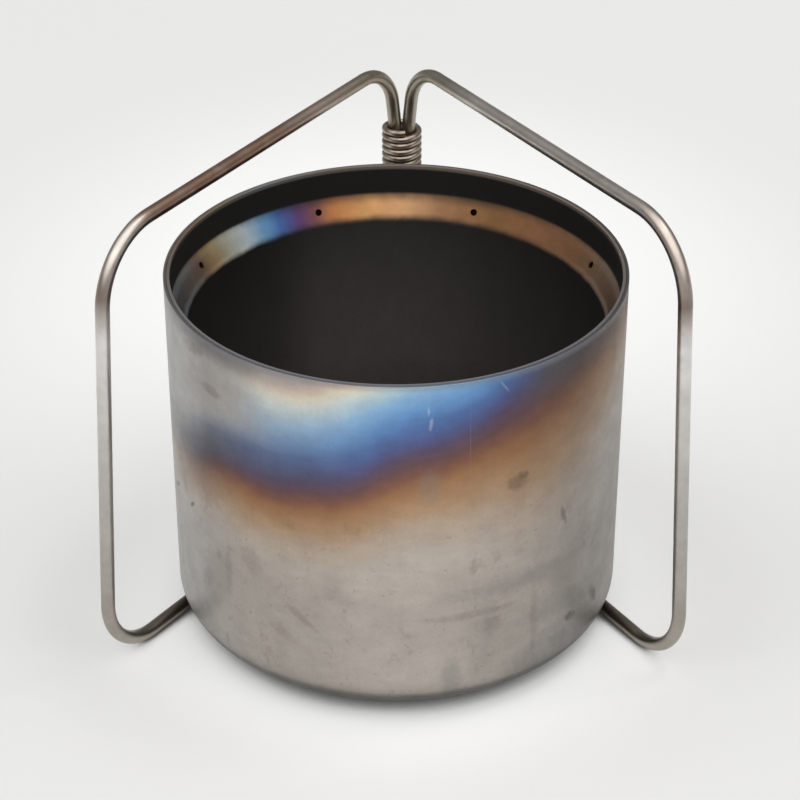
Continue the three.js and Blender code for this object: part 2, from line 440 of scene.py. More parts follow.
def coil_wire():
    """The hinge coil's wire, wound clockwise from its upper end down, both ends cut square."""
    stations = []
    climb = COIL_PITCH / (FULL_TURN * COIL_RADIUS)
    for i in range(COIL_TURNS * COIL_STEPS_PER_TURN + 1):
        turns = i / COIL_STEPS_PER_TURN
        angle = math.radians(COIL_START) - FULL_TURN * turns
        outward = Vector((math.cos(angle), math.sin(angle), 0))
        along = Vector((math.sin(angle), -math.cos(angle), -climb)).normalized()
        height = COIL_TOP_Z - WIRE_RADIUS - COIL_PITCH * turns
        centre = outward * COIL_RADIUS + Vector((0, 0, height))
        stations.append([centre, outward, along.cross(outward), WIRE_RADIUS])
    return tube(stations, WIRE_SIDES)


# ---- colours ----

SET_WHITE = 0.71  # linear brightness that a white metal shows in this light


def linear(value):
    """One screen colour channel, 0 to 255, as linear light."""
    value /= 255
    return value / 12.92 if value <= 0.04045 else ((value + 0.055) / 1.055) ** 2.4


def paint(red, green, blue):
    return (linear(red), linear(green), linear(blue), 1)


def metal(red, green, blue):
    """The metal colour that shows as about that screen colour in this light."""
    return tuple(min(1.0, linear(v) / SET_WHITE) for v in (red, green, blue)) + (1,)


def metal_stops(stops):
    """Colour ramp stops from (value, screen colour) pairs."""
    return [(at, metal(*colour)) for at, colour in stops]


# ---- shader helpers ----


class NodeTree:
    """A node tree being built: most calls add nodes and return an output socket."""

    def __init__(self, tree):
        self.tree = tree

    def node(self, kind, **settings):
        made = self.tree.nodes.new(kind)
        for key, value in settings.items():
            setattr(made, key, value)
        return made

    def put(self, socket, value):
        if isinstance(value, bpy.types.NodeSocket):
            self.tree.links.new(value, socket)
        else:
            socket.default_value = value

    def math(self, operation, a, b=0.0, c=0.0):
        made = self.node("ShaderNodeMath", operation=operation)
        for socket, value in zip(made.inputs, (a, b, c)):
            self.put(socket, value)
        return made.outputs[0]

    def product(self, first, *others):
        """All the values multiplied together."""
        for value in others:
            first = self.math("MULTIPLY", first, value)
        return first

    def weighted(self, a, a_share, b, b_share):
        """a times its share plus b times its share."""
        return self.math("ADD", self.product(a, a_share), self.product(b, b_share))

    def squares(self, a, b):
        """The sum of two values' squares."""
        return self.math("ADD", self.product(a, a), self.product(b, b))

    def darkened(self, colour, factor):
        """colour with its brightness multiplied by factor."""
        return self.mix(1.0, colour, self.grey(factor), "MULTIPLY")

    def span(self, value, low, high, out_low=0.0, out_high=1.0, smooth=True):
        """Maps value from low..high to out_low..out_high, eased and held at both ends."""
        kind = "SMOOTHSTEP" if smooth else "LINEAR"
        made = self.node("ShaderNodeMapRange", interpolation_type=kind, clamp=True)
        for socket, number in zip(made.inputs, (value, low, high, out_low, out_high)):
            self.put(socket, number)
        return made.outputs[0]

    def object_millimetres(self):
        """Position in the object's own space, in millimetres."""
        coordinates = self.node("ShaderNodeTexCoord")
        return self.scaled(coordinates.outputs["Object"], (1 / MM, 1 / MM, 1 / MM))

    def scaled(self, vector, scale):
        made = self.node("ShaderNodeVectorMath", operation="MULTIPLY")
        self.put(made.inputs[0], vector)
        made.inputs[1].default_value = scale
        return made.outputs[0]

    def parts(self, vector):
        made = self.node("ShaderNodeSeparateXYZ")
        self.put(made.inputs[0], vector)
        return made.outputs

    def noise(self, vector, scale, detail=3.0, roughness=0.5, distortion=0.0):
        """Noise from 0 to 1 whose features are about 1/scale across."""
        made = self.node("ShaderNodeTexNoise", noise_dimensions="3D")
        self.put(made.inputs["Vector"], vector)
        for key, value in (("Scale", scale), ("Detail", detail), ("Roughness", roughness)):
            made.inputs[key].default_value = value
        made.inputs["Distortion"].default_value = distortion
        return made.outputs[0]

    def curve(self, value, points, low, high):
        """A smooth curve through (x, y) points, held at both ends; every y lies within low..high."""
        first, last = points[0][0], points[-1][0]
        made = self.node("ShaderNodeFloatCurve")
        curve = made.mapping.curves[0]
        places = [((x - first) / (last - first), (y - low) / (high - low)) for x, y in points]
        curve.points[0].location = places[0]
        curve.points[1].location = places[-1]
        for x, y in places[1:-1]:
            curve.points.new(x, y)
        made.mapping.update()
        self.put(made.inputs["Value"], self.span(value, first, last, smooth=False))
        return self.span(made.outputs[0], 0.0, 1.0, low, high, smooth=False)

    def ramp(self, value, stops):
        """A colour ramp through (value, colour) stops."""
        first, last = stops[0][0], stops[-1][0]
        made = self.node("ShaderNodeValToRGB")
        elements = made.color_ramp.elements
        while len(elements) < len(stops):
            elements.new(0.5)
        for element, (at, colour) in zip(elements, stops):
            element.position = (at - first) / (last - first)
        for element, (at, colour) in zip(elements, stops):
            element.color = colour
        self.put(made.inputs[0], self.span(value, first, last, smooth=False))
        return made.outputs[0]

    def mix(self, factor, a, b, blend="MIX"):
        made = self.node("ShaderNodeMix", data_type="RGBA", blend_type=blend)
        self.put(made.inputs[0], factor)
        self.put(made.inputs[6], a)
        self.put(made.inputs[7], b)
        return made.outputs[2]

    def without_hue(self, colour):
        """The grey of the same lightness as colour."""
        made = self.node("ShaderNodeRGBToBW")
        self.put(made.inputs[0], colour)
        return self.grey(made.outputs[0])

    def grey(self, value):
        """A grey colour of that brightness, for multiplying."""
        made = self.node("ShaderNodeCombineColor")
        for socket in made.inputs[:3]:
            self.put(socket, value)
        return made.outputs[0]

    def bump(self, height, strength, distance, under=None):
        """A bump of that height in millimetres, laid over another one."""
        made = self.node("ShaderNodeBump")
        made.inputs["Strength"].default_value = strength
        made.inputs["Distance"].default_value = distance * MM
        self.put(made.inputs["Height"], height)
        if under is not None:
            self.put(made.inputs["Normal"], under)
        return made.outputs[0]


class Shader(NodeTree):
    """A node material being built round one Principled surface."""

    def __init__(self, name):
        self.material = bpy.data.materials.new(name)
        self.material.use_nodes = True
        super().__init__(self.material.node_tree)
        self.tree.nodes.clear()
        self.bsdf = self.node("ShaderNodeBsdfPrincipled")
        finish = self.node("ShaderNodeOutputMaterial")
        self.put(finish.inputs["Surface"], self.bsdf.outputs[0])

    def set(self, **inputs):
        """Sets the surface's own sockets: base_color=... means the socket named Base Color."""
        for key, value in inputs.items():
            socket = key.replace("_", " ").title().replace("Ior", "IOR")
            self.put(self.bsdf.inputs[socket], value)


def round_the_axis(shader, place, front=True):
    """Degrees round the Z axis, 0 at the front and growing to the right, or 0 at the back."""
    x, y, _ = shader.parts(place)
    ahead = shader.product(y, -1.0 if front else 1.0)
    return shader.product(shader.math("ARCTAN2", x, ahead), math.degrees(1))


def depth_below_rim(shader, place):
    """Depth in millimetres, for the pieces whose own zero height is the burner's rim."""
    return shader.product(shader.parts(place)[2], -1.0)


def reach_from_axis(shader, place):
    """Distance from the piece's own upright axis, in millimetres."""
    x, y, _ = shader.parts(place)
    return shader.math("SQRT", shader.squares(x, y))


def mottle(shader, place, scale, amount, seed):
    """A brightness factor that wanders round 1, for multiplying a colour."""
    offset = shader.node("ShaderNodeVectorMath", operation="ADD")
    shader.put(offset.inputs[0], place)
    offset.inputs[1].default_value = (seed, 2 * seed, 3 * seed)
    wander = shader.noise(offset.outputs[0], scale, 4.0, 0.55)
    return shader.span(wander, 0.3, 0.7, 1 - amount, 1 + amount, smooth=False)


# ---- the outer cup's titanium ----

# Heat tint by height above the purple line, in millimetres: bare metal far below it, gold and bronze
# just below, blues above it, and pale second-order colours where it was hottest.
TINT = metal_stops([
    (-24, (168, 161, 154)),
    (-15, (172, 164, 156)),
    (-11, (171, 155, 140)),
    (-8, (163, 135, 108)),
    (-5, (148, 111, 81)),
    (-3.2, (124, 89, 74)),
    (-1.6, (102, 79, 82)),
    (0, (91, 80, 102)),
    (1.8, (84, 92, 134)),
    (4.0, (84, 112, 160)),
    (6.2, (102, 143, 188)),
    (8.6, (130, 168, 202)),
    (10.6, (168, 191, 200)),
    (12.0, (198, 204, 198)),
    (13.2, (212, 202, 176)),
    (14.4, (200, 176, 158)),
    (15.6, (172, 156, 148)),
    (17, (158, 152, 148)),
])

# Depth of the purple line below the rim in millimetres, by degrees round the cup from the front.
PURPLE_LINE = [
    (-180, 4.0), (-150, 8.0), (-120, 15.0), (-85, 20.0), (-60, 18.6), (-45, 16.4), (-30, 16.5), (-15, 14.9),
    (0, 11.0), (15, 8.2), (27, 4.8), (40, 1.5), (60, -3.5), (90, -8.0), (130, -4.0), (180, 4.0),
]

# How many times wider the gold and bronze below the line spread, by degrees round the cup.
GOLD_SPREAD = [(-180, 1.6), (-90, 0.8), (-10, 1.0), (20, 1.25), (42, 1.8), (80, 1.5), (130, 2.0), (180, 1.6)]

# Painted shade by degrees round the cup: lighter round the front and left, darker round to the right, as the
# light falls.
PAINTED_SIDE_SHADE = [
    (-180, 0.85), (-90, 0.9), (-72, 0.95), (-50, 0.88), (-34, 0.84), (-18, 0.86), (-5, 0.94), (8, 0.93),
    (30, 0.78), (50, 0.68), (90, 0.6), (180, 0.85),
]

# Painted shade by depth below the rim in millimetres: darker down the lower wall, which mirrors the floor
# shaded by the cup. It falls away round the bend into the base, a painted dark band for the shadowed gap
# under the cup.
DEPTH_SHADE = [
    (0, 1.0), (20, 1.0), (28, 0.97), (34, 0.92), (40, 0.92), (46.5, 0.87), (47.9, 0.76), (48.8, 0.42),
    (49.8, 0.22), (51.5, 0.15),
]

# How grey the blues are, by degrees round the cup from the front.
DULLING = [
    (-180, 0.7), (-90, 0.9), (-66, 0.82), (-47, 0.66), (-36, 0.47), (-24, 0.32), (-14, 0.18), (-4, 0.04),
    (8, 0.0), (28, 0.1), (42, 0.6), (60, 0.7), (90, 0.6), (180, 0.7),
]

BURNT_GREY = metal(160, 155, 151)
NEUTRAL_GREY = metal(160, 159, 155)
RIM_SOOT = metal(92, 91, 89)
CUP_LIP_FRONT = metal(118, 120, 126)
CUP_LIP_BACK = metal(112, 103, 97)
STAIN_BROWN = metal(96, 84, 76)
STAIN_GREY = metal(122, 121, 120)
RUBBED_PALE = metal(205, 208, 214)

# Burnt fuel residue on the floor inside the cup, by the value of the noise that spreads it.
FLOOR_RESIDUE = metal_stops([
    (0.3, (58, 52, 48)),
    (0.42, (84, 74, 66)),
    (0.5, (112, 96, 82)),
    (0.6, (132, 120, 108)),
    (0.72, (98, 88, 82)),
])
RESIDUE_DEPTH = (40, 44)  # depths below the rim between which the residue starts to show

# Marks on the cup's wall, each at (degrees from the front, depth below the rim), with its half width and
# half height in millimetres, its lean in degrees, and how strongly it shows.
STAINS = {
    "finger_mark": ((30, 17), (1.6, 1.1), 20, 0.45),
    "finger_mark_tail": ((31.5, 16.2), (0.9, 0.7), 0, 0.6),
    "scuff_high_right": ((45, 25.5), (0.4, 1.7), -20, 0.45),
    "scuff_mid_left": ((-50, 7.2), (2.0, 0.8), 8, 0.35),
    "scuff_rim_left": ((-57, 2.6), (2.2, 0.9), -10, 0.4),
    "nick_far_left": ((-62, 28.8), (0.8, 0.3), -40, 0.7),
    "scuff_far_left": ((-74, 29.4), (1.5, 0.35), -30, 0.5),
    "scuff_low_left": ((-55, 38.5), (2.0, 1.2), -45, 0.2),
    "smear_low_left": ((-24, 37.5), (2.6, 0.6), 35, 0.25),
    "smear_low_middle": ((-29, 41), (2.2, 0.8), 30, 0.2),
    "ring_mark": ((24, 38.8), (1.6, 1.4), 0, 0.25),
    "short_smear": ((18, 36.3), (6, 0.6), 0, 0.22),
    "smudge_left": ((-38, 31), (1.6, 2.4), -12, 0.16),
    "smudge_low": ((-14, 33), (2.2, 1.2), 25, 0.14),
    "drip_left": ((-46, 35), (0.7, 4.5), 2, 0.16),
    "drip_right": ((36, 40), (0.6, 5.5), -1, 0.16),
    "corner_nick": ((49, 43.4), (1.2, 0.7), 15, 0.6),
    "corner_scuff": ((60, 43), (0.8, 1.8), -30, 0.5),
}
WATER_MARKS = {
    "drip": ((13.5, 46.6), (1.4, 3.4), 0, 0.45),
    "pane": ((20.5, 39.5), (2.4, 7.0), 0, 0.2),
    "low_patch": ((46, 47.5), (9, 3.6), 0, 0.5),
    "line_run": ((8, 15.2), (1.5, 2.6), 4, 0.32),
    "long_smear": ((33, 33), (11, 1.3), 0, 0.28),
    "second_smear": ((45, 40), (9, 1.6), 0, 0.2),
}
RUBS = {
    "chip": ((8, 5.6), (0.26, 0.8), 8, 0.3),
    "chip_tail": ((7.4, 3.6), (0.16, 0.6), 0, 0.25),
    "scratch_high": ((25.6, 1.6), (0.14, 1.1), -35, 0.22),
    "hairline": ((17.4, 8.5), (0.08, 5.0), -1, 0.06),
}


def mark_mask(shader, angle, depth, fray, at, half, lean, strength):
    """How strongly one mark shows: full in its middle, frayed and soft at its edge."""
    middle_angle, middle_depth = at
    half_width, half_height = half
    around = shader.product(shader.math("SUBTRACT", angle, middle_angle), WALL_PER_DEGREE)
    down = shader.math("SUBTRACT", depth, middle_depth)
    lean_cos, lean_sin = math.cos(math.radians(lean)), math.sin(math.radians(lean))
    u = shader.weighted(around, lean_cos / half_width, down, lean_sin / half_width)
    v = shader.weighted(around, -lean_sin / half_height, down, lean_cos / half_height)
    frayed = shader.math("ADD", shader.squares(u, v), fray)
    return shader.span(frayed, 1.9, -0.2, 0.0, strength)


def marks_mask(shader, angle, depth, fray, marks):
    """The strongest of several marks at each place."""
    found = 0.0
    for at, half, lean, strength in marks.values():
        found = shader.math("MAXIMUM", found, mark_mask(shader, angle, depth, fray, at, half, lean, strength))
    return found


def specks(shader, place, depth):
    """Fine scattered dark specks and small smudges, thicker on the lower wall."""
    fine = shader.span(shader.noise(place, 1.7, 2.0, 0.5), 0.66, 0.74, 0.0, 0.3)
    long_place = shader.scaled(place, (1.0, 1.0, 0.7))
    smudge = shader.span(shader.noise(long_place, 0.36, 5.0, 0.7), 0.56, 0.74, 0.0, 0.3)
    return shader.product(shader.math("MAXIMUM", fine, smudge), shader.span(depth, 6, 34, 0.25, 1.0))


def heat_above_line(shader, place, angle, depth):
    """Height above the purple line in millimetres, with the gold below it spread as GOLD_SPREAD says."""
    line = shader.curve(angle, PURPLE_LINE, -10, 30)
    waver = shader.noise(place, 0.09, 3.0, 0.55, 0.4)
    line = shader.math("ADD", line, shader.span(waver, 0.25, 0.75, -0.7, 0.7, smooth=False))
    above = shader.math("SUBTRACT", line, depth)
    spread = shader.curve(angle, GOLD_SPREAD, 0, 3)
    below = shader.math("DIVIDE", shader.math("MINIMUM", above, 0.0), spread)
    return shader.math("ADD", shader.math("MAXIMUM", above, 0.0), below)


# Degrees round the cup, either way from the front, between which a mark on one side dies away at the back.
BACK_FADE = (176, 112)


def on_side(shader, angle, start, full):
    """Grows from 0 to 1 round the side that full is on, left if negative, and dies away at the back."""
    gone, begun = (math.copysign(at, full) for at in BACK_FADE)
    return shader.product(shader.span(angle, start, full), shader.span(angle, gone, begun))


def tinted_wall(shader, place, angle, depth):
    """The heat tint, its blues dulled, and burnt grey where it was hottest on the left."""
    heat = heat_above_line(shader, place, angle, depth)
    colour = shader.ramp(heat, TINT)
    dull = shader.product(shader.curve(angle, DULLING, 0, 1), shader.span(heat, -2.0, 2.0))
    colour = shader.mix(dull, colour, shader.without_hue(colour))
    burnt_blue = shader.product(on_side(shader, angle, -42, -66), shader.span(heat, 1.0, 9.0))
    burnt_cream = shader.product(on_side(shader, angle, -26, -46), shader.span(heat, 3.0, 8.0))
    return shader.mix(shader.math("MAXIMUM", burnt_blue, burnt_cream), colour, BURNT_GREY)


def sooted(shader, colour, angle, depth):
    """Soot under the rim on both sides, and less colour further round."""
    sooty_left = shader.product(on_side(shader, angle, -24, -44), shader.span(depth, 3.4, 0.6), 0.65)
    sooty_right = shader.product(on_side(shader, angle, 26, 42), shader.span(depth, 7.0, 1.0), 0.6)
    colour = shader.mix(shader.math("MAXIMUM", sooty_left, sooty_right), colour, RIM_SOOT)
    far_left = shader.product(on_side(shader, angle, -50, -80), 0.65)
    colour = shader.mix(far_left, colour, NEUTRAL_GREY)
    neutral_left = shader.product(on_side(shader, angle, -36, -60), 0.45)
    neutral_right = shader.product(on_side(shader, angle, 26, 52), 0.22)
    neutral = shader.math("MAXIMUM", neutral_left, neutral_right)
    return shader.mix(neutral, colour, shader.without_hue(colour))


def marked(shader, colour, place, angle, depth):
    """The colour under water marks, stains, rubs and specks, and how strongly the stains show."""
    fray = shader.span(shader.noise(place, 1.1, 3.0, 0.6), 0.25, 0.75, -0.7, 0.7, smooth=False)
    stains = marks_mask(shader, angle, depth, fray, STAINS)
    water = marks_mask(shader, angle, depth, shader.product(fray, 0.7), WATER_MARKS)
    rubs = marks_mask(shader, angle, depth, fray, RUBS)
    colour = shader.mix(water, colour, STAIN_GREY)
    colour = shader.mix(stains, colour, STAIN_BROWN)
    colour = shader.mix(rubs, colour, RUBBED_PALE)
    return shader.mix(specks(shader, place, depth), colour, STAIN_BROWN), stains


def wall_shade(shader, place, angle, depth):
    """How light the wall is: painted shade round it and down it, then broad, smudged and fine mottling, and
    streaks down it.
    """
    smudged = shader.scaled(place, (0.6, 0.6, 1.3))
    streaked = shader.scaled(place, (1.0, 1.0, 0.06))
    return shader.product(
        shader.curve(angle, PAINTED_SIDE_SHADE, 0, 1),
        shader.curve(depth, DEPTH_SHADE, 0, 1),
        mottle(shader, place, 0.2, 0.06, 5.0),
        mottle(shader, smudged, 0.5, 0.05, 6.0),
        mottle(shader, place, 2.2, 0.03, 7.0),
        mottle(shader, streaked, 1.2, 0.015, 9.0),
    )


def with_bare_lip(shader, colour, place, depth, reach):
    """The rim's bare, rounded lip, bluer at the front and browner at the back."""
    _, y, height = shader.parts(place)
    inside = shader.span(reach, CUP_RADIUS - 0.12, CUP_RADIUS - 0.3)
    near_rim = shader.span(depth, 2.0, 1.0)
    lip = shader.product(shader.math("MAXIMUM", shader.span(height, -0.2, -0.06), inside), near_rim, 0.7)
    near_lip = shader.product(shader.span(depth, 1.1, 0.2), 0.42)
    bare_lip = shader.mix(shader.span(y, -24, 10), CUP_LIP_FRONT, CUP_LIP_BACK)
    return shader.mix(shader.math("MAXIMUM", lip, near_lip), colour, bare_lip)


def with_residue(shader, colour, place, depth, reach):
    """Burnt fuel on the floor inside the cup, and none on its underside."""
    on_floor = shader.product(
        shader.math("LESS_THAN", reach, CHAMBER_RADIUS),
        shader.span(depth, *RESIDUE_DEPTH),
        shader.math("LESS_THAN", depth, CUP_HEIGHT - SHEET / 2),
    )
    residue = shader.ramp(shader.noise(place, 0.16, 5.0, 0.65, 0.6), FLOOR_RESIDUE)
    return shader.mix(on_floor, colour, residue)


def cup_titanium():
    shader = Shader("heat_tinted_titanium")
    place = shader.object_millimetres()
    depth = depth_below_rim(shader, place)
    angle = round_the_axis(shader, place)
    reach = reach_from_axis(shader, place)

    colour = tinted_wall(shader, place, angle, depth)
    colour = sooted(shader, colour, angle, depth)
    colour, stains = marked(shader, colour, place, angle, depth)
    # painted shade round and down the wall, over random mottling
    colour = shader.darkened(colour, wall_shade(shader, place, angle, depth))
    colour = with_bare_lip(shader, colour, place, depth, reach)
    colour = with_residue(shader, colour, place, depth, reach)
    shader.set(base_color=colour, metallic=1.0)

    rough = shader.span(shader.noise(place, 0.35, 4.0, 0.6), 0.3, 0.7, 0.4, 0.52, smooth=False)
    shader.set(roughness=shader.math("ADD", rough, shader.product(stains, 0.12)))
    fine = shader.noise(shader.scaled(place, (1.0, 1.0, 0.5)), 9.0, 3.0, 0.6)
    broad = shader.noise(place, 0.12, 1.0, 0.4)
    dents = shader.bump(broad, 0.35, 0.25)
    shader.set(normal=shader.bump(fine, 0.1, 0.02, dents))
    return shader.material


# ---- the liner's titanium ----

# Colour of the slanting shoulder, by degrees round the liner from the back, growing to the right.
SHOULDER_TINT = metal_stops([
    (-180, (150, 135, 125)),
    (-120, (124, 124, 128)),
    (-85, (132, 138, 142)),
    (-75, (140, 138, 134)),
    (-68, (148, 122, 107)),
    (-61, (190, 166, 122)),
    (-54, (194, 194, 176)),
    (-48, (192, 202, 206)),
    (-41, (104, 147, 179)),
    (-35, (60, 88, 138)),
    (-29, (72, 50, 86)),
    (-24, (88, 57, 60)),
    (-18, (130, 85, 52)),
    (-6, (145, 109, 71)),
    (4, (138, 105, 76)),
    (14, (106, 77, 55)),
    (30, (101, 74, 48)),
    (45, (140, 100, 73)),
    (60, (160, 120, 90)),
    (75, (164, 143, 124)),
    (120, (150, 135, 125)),
    (180, (150, 135, 125)),
])

# Colour of the liner's bare lip, by the same degrees.
LIP_TINT = metal_stops([
    (-180, (102, 102, 110)),
    (-100, (100, 96, 94)),
    (-75, (96, 82, 72)),
    (-55, (104, 94, 76)),
    (-38, (98, 102, 106)),
    (-20, (104, 96, 90)),
    (0, (113, 102, 93)),
    (40, (108, 98, 90)),
    (80, (98, 92, 86)),
    (130, (96, 94, 96)),
    (180, (102, 102, 110)),
])
COLLAR_SOOT = paint(32, 31, 30)
CHAMBER_SOOT = paint(46, 44, 43)
CHAMBER_SOOT_LOW = paint(78, 74, 72)

# Painted shade on the chamber's soot, by degrees round the liner from the back, growing to the right:
# lightest near the back, where the light falls in.
CHAMBER_SHADE = [
    (-180, 0.5), (-90, 0.45), (-48, 0.5), (-30, 0.85), (-15, 1.1), (10, 1.0), (30, 0.75), (50, 0.6),
    (90, 0.5), (180, 0.5),
]


def sooty_shaded_chamber(shader, place, angle, depth, top, bottom):
    """Black collar above the shoulder, and a lighter, uneven soot on the chamber wall below it, with painted
    shade round it.
    """
    chamber = shader.mix(shader.span(depth, 8, 30, smooth=False), CHAMBER_SOOT, CHAMBER_SOOT_LOW)
    # painted shade round the chamber: the soot lighter near the back, darker at the sides
    chamber = shader.darkened(chamber, shader.curve(angle, CHAMBER_SHADE, 0, 1.2))
    soot = shader.mix(shader.span(depth, top + 1.0, bottom + 1.0), COLLAR_SOOT, chamber)
    long_place = shader.scaled(place, (1.0, 1.0, 0.5))
    cloud = shader.product(mottle(shader, long_place, 0.35, 0.05, 2.0), mottle(shader, place, 2.5, 0.07, 3.0))
    return shader.darkened(soot, cloud)


def bare_shoulder(shader, place, depth, top, bottom):
    """1 on the shoulder's bare metal, with a ragged edge at its top and bottom bends."""
    wander = shader.span(shader.noise(place, 0.4, 3.0), 0.3, 0.7, -0.15, 0.15, smooth=False)
    ragged = shader.math("ADD", depth, wander)
    return shader.product(
        shader.span(depth, top - 0.2, top + 0.3),
        shader.span(ragged, top - 0.9, top + 1.5),
        shader.span(ragged, bottom + 0.5, bottom - 0.9),
    )


def liner_titanium():
    shader = Shader("chamber_titanium")
    place = shader.object_millimetres()
    depth = depth_below_rim(shader, place)
    angle = round_the_axis(shader, place, front=False)
    top, bottom = COLLAR_DEPTH, COLLAR_DEPTH + SHOULDER_DEPTH

    bare = bare_shoulder(shader, place, depth, top, bottom)
    lip = shader.span(depth, 0.65, 0.2)
    metallic = shader.math("MAXIMUM", bare, shader.product(lip, 0.35))
    soot = sooty_shaded_chamber(shader, place, angle, depth, top, bottom)
    shine = shader.darkened(shader.ramp(angle, SHOULDER_TINT), mottle(shader, place, 0.6, 0.08, 4.0))
    colour = shader.mix(bare, soot, shine)
    colour = shader.mix(lip, colour, shader.ramp(angle, LIP_TINT))

    shader.set(base_color=colour, metallic=metallic, specular_ior_level=0.25)
    shader.set(roughness=shader.math("ADD", 0.6, shader.product(metallic, -0.22)))
    grain = shader.noise(place, 7.0, 3.0, 0.6)
    shader.set(normal=shader.bump(grain, 0.2, 0.03))
    return shader.material


# ---- the stand's titanium ----

# Colour of a leg by height above the ground in millimetres: darker towards the ground, lightest just below
# the upper bend, a painted bright reflection, and with a painted dark reflection band at the bend. Then the
# colours of the pot run and of the ground run.
LEG_TINT_AND_REFLECTION = metal_stops([
    (0, (134, 128, 118)),
    (12, (145, 140, 133)),
    (30, (163, 160, 156)),
    (44, (182, 180, 176)),
    (51, (198, 196, 194)),
    (54.5, (168, 162, 158)),
    (57.5, (122, 110, 102)),
    (61, (150, 138, 130)),
])
RUN_GREY = metal(178, 173, 167)
RUN_OLIVE = metal(140, 135, 122)
RUN_BRONZE = metal(132, 107, 90)
GROUND_RUN = metal(118, 108, 98)
# Painted shade for the ground runs' undersides, where the rods shade themselves.
PAINTED_UNDERSIDE_SHADE = metal(62, 57, 52)
COIL_BROWN = metal(118, 106, 95)
COIL_GREY = metal(160, 149, 138)

# How strong the bronze is along each rod's pot run, and at its upper outer bend.
LEFT_BRONZE = (1.0, 0.2)
RIGHT_BRONZE = (0.15, 0.4)


def rod_titanium(name, run_bronze, bend_bronze):
    """Satin rod; the two numbers say how bronze its pot run and its upper outer bend are."""
    shader = Shader(name)
    place = shader.object_millimetres()
    height = shader.parts(place)[2]
    reach = reach_from_axis(shader, place)
    on_run = shader.span(height, RUN_Z - 9, RUN_Z - 3)
    # the legs' colour by height carries painted reflections below and at the upper bend
    colour = shader.mix(on_run, shader.ramp(height, LEG_TINT_AND_REFLECTION), RUN_GREY)
    colour = shader.mix(shader.span(reach, 20, 8), colour, RUN_OLIVE)
    along_run = shader.product(shader.span(reach, 6, 34, 0.3, 1.0), shader.span(reach, 63, 54), run_bronze)
    at_bend = shader.product(shader.span(reach, 50, 60), bend_bronze)
    blotch = shader.span(shader.noise(place, 0.15, 3.0), 0.3, 0.6, 0.6, 1.0)
    bronze = shader.product(on_run, blotch, shader.math("MAXIMUM", along_run, at_bend))
    colour = shader.mix(bronze, colour, RUN_BRONZE)
    on_ground = shader.product(shader.span(height, 6, 3), shader.span(reach, 64, 56))
    colour = shader.mix(on_ground, colour, GROUND_RUN)
    # painted shade under the ground runs
    painted_underside_shade = shader.product(shader.span(height, 1.1, 0.3), shader.span(reach, 69, 64))
    colour = shader.mix(painted_underside_shade, colour, PAINTED_UNDERSIDE_SHADE)
    wear = shader.product(mottle(shader, place, 1.1, 0.04, 3.0), mottle(shader, place, 0.25, 0.08, 8.0))
    shader.set(base_color=shader.darkened(colour, wear), metallic=1.0)
    shader.set(roughness=shader.span(shader.noise(place, 0.8, 3.0), 0.3, 0.7, 0.3, 0.4, smooth=False))
    return shader.material


def coil_titanium():
    shader = Shader("coil_titanium")
    place = shader.object_millimetres()
    shade = shader.span(shader.noise(place, 0.6, 3.0), 0.3, 0.7)
    colour = shader.mix(shade, COIL_BROWN, COIL_GREY)
    shader.set(base_color=colour, metallic=1.0)
    shader.set(roughness=shader.span(shader.noise(place, 1.2, 3.0), 0.3, 0.7, 0.26, 0.38, smooth=False))
    shader.set(normal=shader.bump(shader.noise(place, 8.0, 3.0), 0.1, 0.01))
    return shader.material


# ---- pieces ----


def make_burner():
    centre = CUP_AXIS + Vector((0, 0, RIM_Z))
    drop = Vector((0, 0, CUP_HEIGHT))
    vertices, faces = lathe(cup_profile())
    cup = add_piece("cup_shell", [v - drop for v in vertices], faces, cup_titanium(), centre)
    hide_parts("outer_cup")
    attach(cup, "burner")

    vertices, faces = liner_sheet()
    liner = add_piece("jet_sleeve", [v - drop for v in vertices], faces, liner_titanium(), centre)
    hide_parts("jet_liner")
    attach(liner, "burner")


def make_wing(name, node, body, hinge, material, wing_shape):
    vertices, faces = wing_rod(**wing_shape)
    wing = add_piece(name, vertices, faces, material, hinge)
    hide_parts(node)
    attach(wing, body)


def make_coil():
    vertices, faces = coil_wire()
    coil = add_piece("coil_wire", vertices, faces, coil_titanium(), COIL_AXIS)
    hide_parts("hinge_coil")
    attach(coil, "hinge")


# ---- floor, light and camera ----

FLOOR_SIZE = 6000.0
FLOOR_DARKEST = paint(224, 224, 223)
FLOOR_PALEST = paint(227, 227, 226)
POOL_GLOW = 0.2  # in the middle of a soft pool of light behind the burner
POOL_CENTRE = (0.0, 75.0)
POOL_REACH = (100.0, 115.0)  # half its width and half its depth
CONTACT_REACH = 22.0  # how close a thing has to be to change the floor's openness
CONTACT_OPENNESS = (0.06, 0.36)  # where the shade under things is fullest, and where it ends
CONTACT_SHADE = 0.12
FILL_GLOW = 0.2  # light that things standing near throw back on the floor
FILL_OPENNESS = (1.0, 0.5)  # where that light starts, and where it is full
GLOW_COLOUR = (1.0, 1.0, 0.995, 1)


def floor_pool(shader, place):
    """The soft pool of light behind the burner."""
    x, y, _ = shader.parts(place)
    aside = shader.math("DIVIDE", shader.math("SUBTRACT", x, POOL_CENTRE[0]), POOL_REACH[0])
    along = shader.math("DIVIDE", shader.math("SUBTRACT", y, POOL_CENTRE[1]), POOL_REACH[1])
    return shader.span(shader.math("SQRT", shader.squares(aside, along)), 1.0, 0.2, 0.0, POOL_GLOW)


